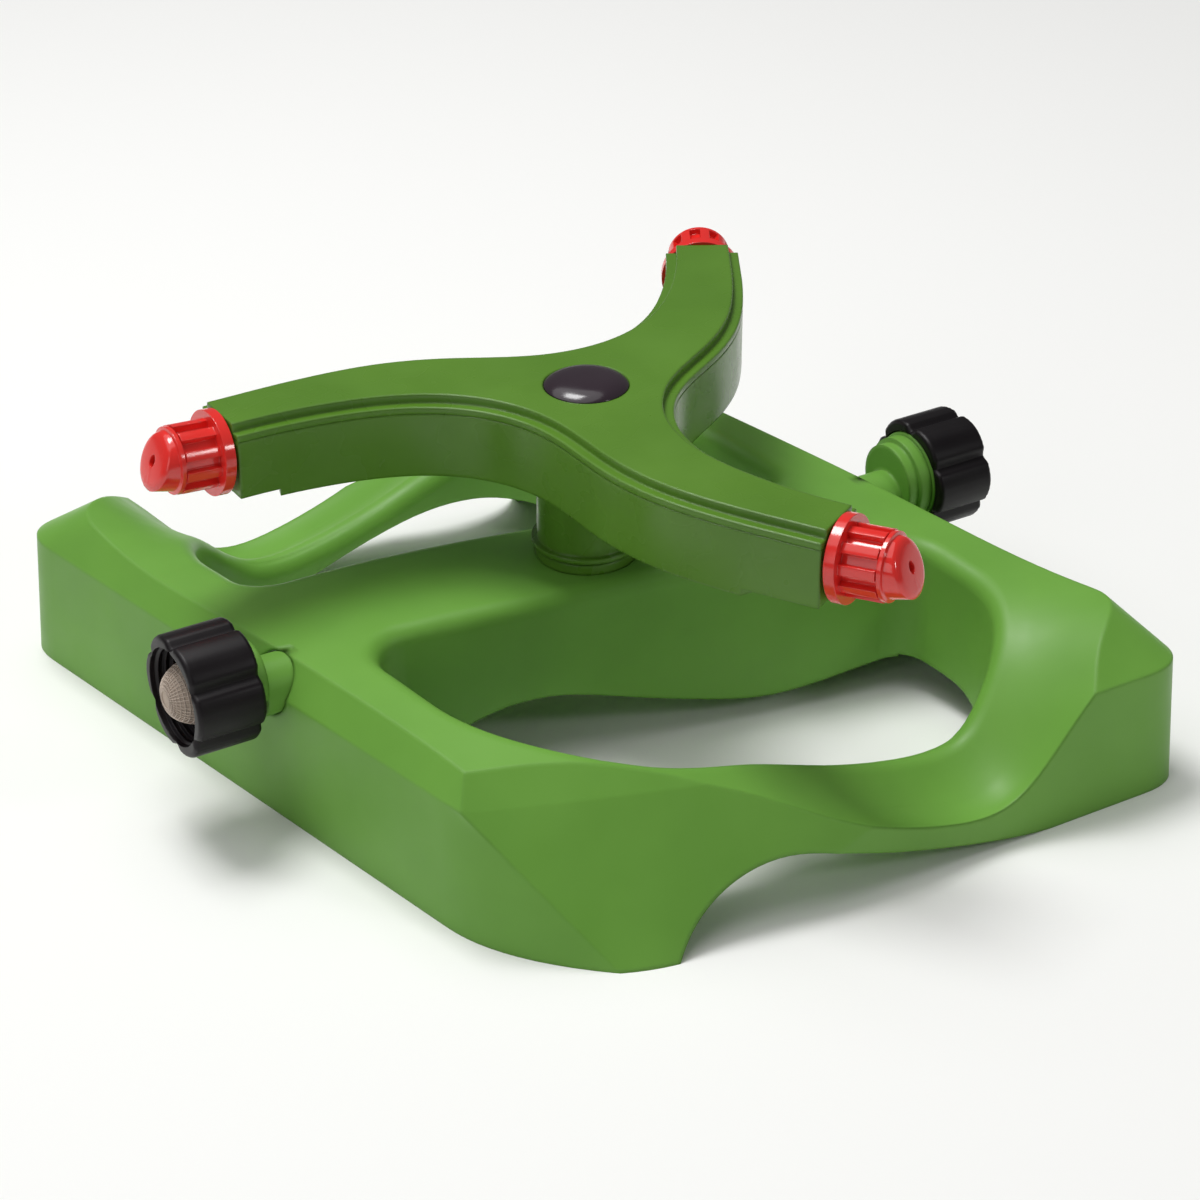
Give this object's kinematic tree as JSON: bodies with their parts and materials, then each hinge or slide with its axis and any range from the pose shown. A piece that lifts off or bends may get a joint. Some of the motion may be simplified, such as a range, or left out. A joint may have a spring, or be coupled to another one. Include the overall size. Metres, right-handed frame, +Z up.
{
  "type": "rotary lawn sprinkler",
  "caption": "Rotary lawn sprinkler: curved arms with ribbed red nozzles spin on an open green sled base with a lobed hose swivel and strainer at one end and a lobed screw cap at the other.",
  "frame": {"origin": "where the rotor's axis meets the ground, under the middle of the base", "axes": "+Z up along the rotor's axis, +X along the water line from the hose inlet to the capped outlet, +Y to the left of it"},
  "size_m": [0.257, 0.238, 0.1034],
  "materials": {
    "base_green": "satin moulded",
    "rotor_green": "satin moulded",
    "nozzle_red": "gloss moulded",
    "connector_black": "satin moulded",
    "hub_cap_gloss": "gloss moulded",
    "strainer_mesh": "woven screen",
    "seal_rubber": "matte",
    "spindle_acetal": "turned",
    "screw_steel": "plated"
  },
  "bodies": {
    "base": {"base_shell": "base_green", "water_manifold": "base_green", "manifold_screws": "screw_steel", "inlet_ferrule": "connector_black", "riser_spindle": "spindle_acetal", "riser_seal": "seal_rubber", "bearing_collar": "rotor_green", "thrust_washer": "spindle_acetal", "retaining_washer": "screw_steel", "retaining_screw": "screw_steel"},
    "inlet_nut": {"inlet_swivel_nut": "connector_black", "inlet_washer": "seal_rubber", "inlet_strainer": "strainer_mesh"},
    "outlet_washer": {"outlet_washer": "seal_rubber"},
    "outlet_cap": {"outlet_cap": "connector_black"},
    "rotor": {"rotor_stem": "rotor_green", "lower_bush": "spindle_acetal", "spindle_seal": "seal_rubber", "rotor_lower_shell": "rotor_green", "rotor_top_cover": "rotor_green", "upper_bush": "spindle_acetal", "hub_cap": "hub_cap_gloss"},
    "nozzle_1": {"nozzle_1": "nozzle_red", "nozzle_1_seal": "seal_rubber"},
    "nozzle_2": {"nozzle_2": "nozzle_red", "nozzle_2_seal": "seal_rubber"},
    "nozzle_3": {"nozzle_3": "nozzle_red", "nozzle_3_seal": "seal_rubber"}
  },
  "joints": [
    {"name": "rotor_spin", "type": "hinge", "parent": "base", "child": "rotor", "pos_m": [0, 0, 0.0538], "axis": [0, 0, 1], "continuous": true},
    {"name": "inlet_nut_spin", "type": "hinge", "parent": "base", "child": "inlet_nut", "pos_m": [-0.1068, 0, 0.043], "axis": [1, 0, 0], "continuous": true},
    {"name": "outlet_cap_slide", "type": "slide", "parent": "base", "child": "outlet_washer", "axis": [1, 0, 0], "range_m": [0, 0.00994]},
    {"name": "outlet_cap_turn", "type": "hinge", "parent": "outlet_washer", "child": "outlet_cap", "pos_m": [0.125, 0, 0.043], "axis": [1, 0, 0], "range_deg": [0, 1620]},
    {"name": "nozzle_1_turn", "type": "hinge", "parent": "rotor", "child": "nozzle_1", "pos_m": [0.07779, 0.06213, 0.09], "axis": [0.4988, 0.8639, 0.0698], "continuous": true},
    {"name": "nozzle_2_turn", "type": "hinge", "parent": "rotor", "child": "nozzle_2", "pos_m": [-0.0927, 0.0363, 0.09], "axis": [-0.9976, 0, 0.0698], "continuous": true},
    {"name": "nozzle_3_turn", "type": "hinge", "parent": "rotor", "child": "nozzle_3", "pos_m": [0.01491, -0.09843, 0.09], "axis": [0.4988, -0.8639, 0.0698], "continuous": true}
  ],
  "couplings": [
    {"joint": "outlet_cap_slide", "follows": "outlet_cap_turn", "m_per_rad": 0.00035153}
  ]
}
